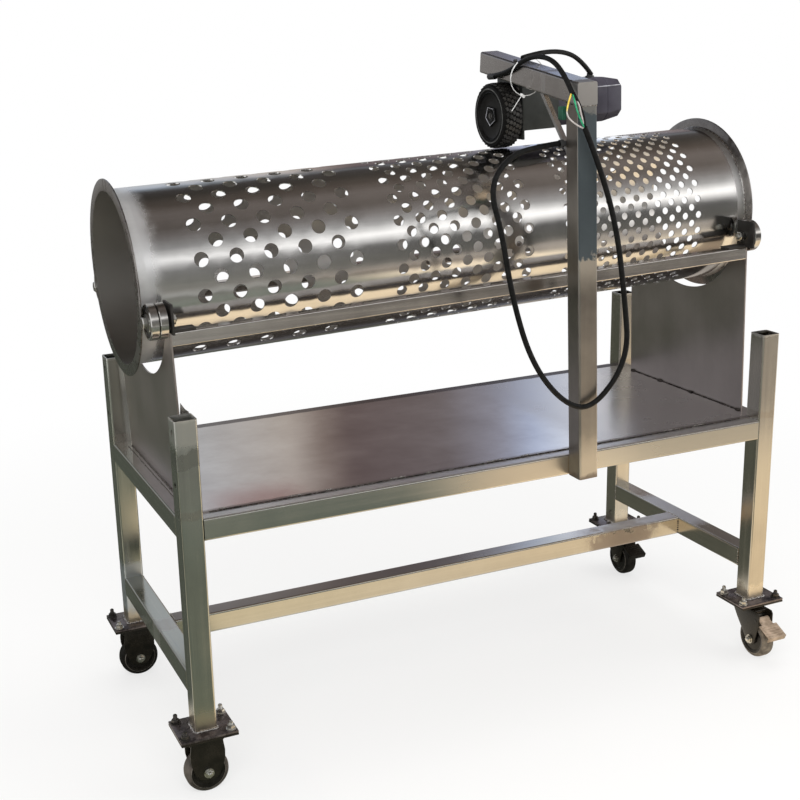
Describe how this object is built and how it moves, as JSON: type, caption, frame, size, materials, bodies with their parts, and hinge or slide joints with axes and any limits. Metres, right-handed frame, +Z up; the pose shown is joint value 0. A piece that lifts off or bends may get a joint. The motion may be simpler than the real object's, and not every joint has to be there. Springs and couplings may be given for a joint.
{
  "type": "roller sorting machine",
  "caption": "Rotary sorter: an inclined perforated drum on bearing rollers, turned by a rubber friction wheel, over a catch tray on a wheeled tube frame.",
  "frame": {"origin": "middle of the foot print, on the floor", "axes": "+X along the machine towards the drum's high end, +Y away from the front with the drive post, +Z up"},
  "size_m": [1.315, 0.6222, 1.2594],
  "materials": {
    "stainless_tube": "satin square tube",
    "stainless_sheet": "cold-rolled sheet, half mirror",
    "stainless_drum": "rolled sheet, brushed along the drum",
    "bearing_steel": "ground bearing steel",
    "black_bracket": "dark bracket steel",
    "zinc_fastener": "bright zinc",
    "motor_paint": "anthracite paint",
    "drive_rubber": "black rubber",
    "rim_plastic": "dark moulded rim",
    "caster_tread": "grey rubber",
    "caster_steel": "pressed steel, dull zinc",
    "cable_rubber": "black sheath",
    "core_plastic": "coloured core sleeve",
    "clip_plastic": "black clip",
    "terminal_plastic": "green terminal block"
  },
  "bodies": {
    "frame": {"arm_lead": "cable_rubber", "back_roller_rail": "stainless_tube", "back_table_rail": "stainless_tube", "cable_clips": "clip_plastic", "caster_bolts": "zinc_fastener", "drive_arm": "stainless_tube", "drive_post": "stainless_tube", "foot_plates": "stainless_sheet", "front_roller_rail": "stainless_tube", "front_table_rail": "stainless_tube", "gearbox": "motor_paint", "knee_brace": "stainless_tube", "left_back_post": "stainless_tube", "left_cross_bar": "stainless_tube", "left_end_panel": "stainless_sheet", "left_front_post": "stainless_tube", "left_table_rail": "stainless_tube", "long_stretcher": "stainless_tube", "motor_body": "motor_paint", "motor_bracket": "black_bracket", "motor_cap": "motor_paint", "motor_flange": "motor_paint", "motor_lead": "cable_rubber", "right_back_post": "stainless_tube", "right_cross_bar": "stainless_tube", "right_end_panel": "stainless_sheet", "right_front_post": "stainless_tube", "right_table_rail": "stainless_tube", "rigid_caster_axles": "zinc_fastener", "rigid_caster_forks": "caster_steel", "roller_bolts": "zinc_fastener", "roller_brackets": "black_bracket", "roller_nuts": "zinc_fastener", "roller_sleeves": "bearing_steel", "splice_cores": "core_plastic", "supply_cable": "cable_rubber", "swivel_caster_plates": "caster_steel", "terminal_block": "terminal_plastic", "tray_sheet": "stainless_sheet"},
    "drum": {"drum_shell": "stainless_drum", "left_drum_ring": "stainless_drum", "right_drum_ring": "stainless_drum"},
    "drive_wheel": {"drive_tyre": "drive_rubber", "drive_rim": "rim_plastic", "hub_ring": "rim_plastic", "output_shaft": "bearing_steel"},
    "left_front_roller": {"left_front_roller": "bearing_steel"},
    "left_back_roller": {"left_back_roller": "bearing_steel"},
    "right_front_roller": {"right_front_roller": "bearing_steel"},
    "right_back_roller": {"right_back_roller": "bearing_steel"},
    "left_front_wheel": {"left_front_caster_wheel": "caster_tread"},
    "right_front_swivel": {"right_front_caster_fork": "caster_steel", "right_front_caster_axle": "zinc_fastener"},
    "right_front_wheel": {"right_front_caster_wheel": "caster_tread"},
    "right_front_pedal": {"right_front_brake_pedal": "caster_steel"},
    "left_back_wheel": {"left_back_caster_wheel": "caster_tread"},
    "right_back_swivel": {"right_back_caster_fork": "caster_steel", "right_back_caster_axle": "zinc_fastener"},
    "right_back_wheel": {"right_back_caster_wheel": "caster_tread"},
    "right_back_pedal": {"right_back_brake_pedal": "caster_steel"}
  },
  "joints": [
    {"name": "drum_spin", "type": "hinge", "parent": "frame", "child": "drum", "pos_m": [-0.008, 0.02513, 0.914], "axis": [0.9996, 0, 0.0288], "continuous": true},
    {"name": "drive_wheel_spin", "type": "hinge", "parent": "frame", "child": "drive_wheel", "pos_m": [0.13112, 0.02513, 1.1375], "axis": [0.9996, 0, 0.0288], "continuous": true},
    {"name": "left_front_roller_spin", "type": "hinge", "parent": "frame", "child": "left_front_roller", "pos_m": [-0.61442, -0.15643, 0.85051], "axis": [0.9996, 0, 0.0288], "continuous": true},
    {"name": "left_back_roller_spin", "type": "hinge", "parent": "frame", "child": "left_back_roller", "pos_m": [-0.61442, 0.2067, 0.85051], "axis": [0.9996, 0, 0.0288], "continuous": true},
    {"name": "right_front_roller_spin", "type": "hinge", "parent": "frame", "child": "right_front_roller", "pos_m": [0.60107, -0.15643, 0.88553], "axis": [0.9996, 0, 0.0288], "continuous": true},
    {"name": "right_back_roller_spin", "type": "hinge", "parent": "frame", "child": "right_back_roller", "pos_m": [0.60107, 0.2067, 0.88553], "axis": [0.9996, 0, 0.0288], "continuous": true},
    {"name": "left_front_wheel_roll", "type": "hinge", "parent": "frame", "child": "left_front_wheel", "pos_m": [-0.605, -0.21787, 0.04], "axis": [0, 1, 0], "continuous": true},
    {"name": "right_front_swivel_turn", "type": "hinge", "parent": "frame", "child": "right_front_swivel", "pos_m": [0.605, -0.21787, 0.1], "axis": [0, 0, 1], "continuous": true},
    {"name": "right_front_wheel_roll", "type": "hinge", "parent": "right_front_swivel", "child": "right_front_wheel", "pos_m": [0.605, -0.24787, 0.04], "axis": [1, 0, 0], "continuous": true},
    {"name": "right_front_pedal_press", "type": "hinge", "parent": "right_front_swivel", "child": "right_front_pedal", "pos_m": [0.605, -0.26287, 0.087], "axis": [1, 0, 0], "range_deg": [0, 12]},
    {"name": "left_back_wheel_roll", "type": "hinge", "parent": "frame", "child": "left_back_wheel", "pos_m": [-0.605, 0.26813, 0.04], "axis": [0, 1, 0], "continuous": true},
    {"name": "right_back_swivel_turn", "type": "hinge", "parent": "frame", "child": "right_back_swivel", "pos_m": [0.605, 0.26813, 0.1], "axis": [0, 0, 1], "continuous": true},
    {"name": "right_back_wheel_roll", "type": "hinge", "parent": "right_back_swivel", "child": "right_back_wheel", "pos_m": [0.605, 0.23813, 0.04], "axis": [1, 0, 0], "continuous": true},
    {"name": "right_back_pedal_press", "type": "hinge", "parent": "right_back_swivel", "child": "right_back_pedal", "pos_m": [0.605, 0.22313, 0.087], "axis": [1, 0, 0], "range_deg": [0, 12]}
  ],
  "couplings": [
    {"joint": "drive_wheel_spin", "follows": "drum_spin", "ratio": -2.4762},
    {"joint": "left_front_roller_spin", "follows": "drum_spin", "ratio": -5.0323},
    {"joint": "left_back_roller_spin", "follows": "drum_spin", "ratio": -5.0323},
    {"joint": "right_front_roller_spin", "follows": "drum_spin", "ratio": -5.0323},
    {"joint": "right_back_roller_spin", "follows": "drum_spin", "ratio": -5.0323}
  ]
}
